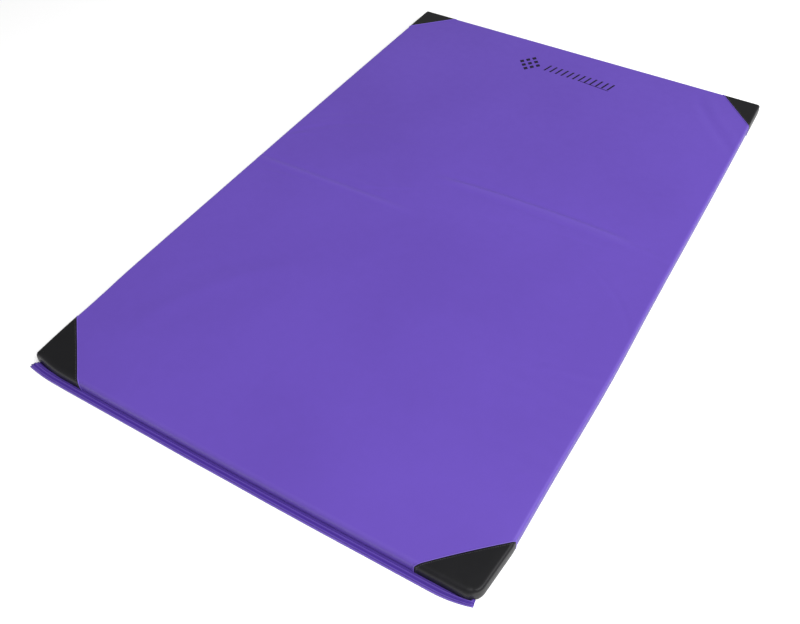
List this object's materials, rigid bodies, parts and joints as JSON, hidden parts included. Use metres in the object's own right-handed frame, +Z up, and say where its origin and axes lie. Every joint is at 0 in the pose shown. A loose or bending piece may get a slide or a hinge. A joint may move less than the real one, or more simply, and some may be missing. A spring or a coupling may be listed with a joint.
{
  "type": "folding gym mat",
  "caption": "Flat rectangular floor mat of foam in a smooth vinyl cover with dark corner caps; it folds across mid-length and has a low hook-and-loop lip along one end.",
  "frame": {"origin": "on the fold line, halfway across the mat, at the underside", "axes": "+Y along the mat's length, from the closure end to the plain end; +Z up, out of the top skin; +X to the right, seen from the closure end"},
  "size_m": [1.2285, 1.848, 0.035],
  "materials": {
    "cover_vinyl": "satin",
    "cap_vinyl": "satin",
    "foam": "matte",
    "closure_tape": "matte"
  },
  "bodies": {
    "front": {"front_foam_core": "foam", "front_base_sheet": "cover_vinyl", "front_top_sheet": "cover_vinyl", "front_end_wall": "cover_vinyl", "front_fold_wall": "cover_vinyl", "front_left_wall": "cover_vinyl", "front_right_wall": "cover_vinyl", "near_left_corner_cap": "cap_vinyl", "near_right_corner_cap": "cap_vinyl", "closure_lower_lip": "cover_vinyl", "closure_hook_tape": "closure_tape"},
    "rear": {"rear_foam_core": "foam", "rear_base_sheet": "cover_vinyl", "rear_top_sheet": "cover_vinyl", "rear_end_wall": "cover_vinyl", "rear_fold_wall": "cover_vinyl", "rear_left_wall": "cover_vinyl", "rear_right_wall": "cover_vinyl", "far_left_corner_cap": "cap_vinyl", "far_right_corner_cap": "cap_vinyl"},
    "closure_flap": {"closure_upper_lip": "cover_vinyl", "closure_loop_tape": "closure_tape"}
  },
  "joints": [
    {"name": "fold", "type": "hinge", "parent": "front", "child": "rear", "pos_m": [0, 0, 0.037], "axis": [1, 0, 0], "range_deg": [0, 180]},
    {"name": "closure_peel", "type": "hinge", "parent": "front", "child": "closure_flap", "pos_m": [-0.01, -0.9153, 0.0042], "axis": [-1, 0, 0], "range_deg": [0, 85]}
  ]
}
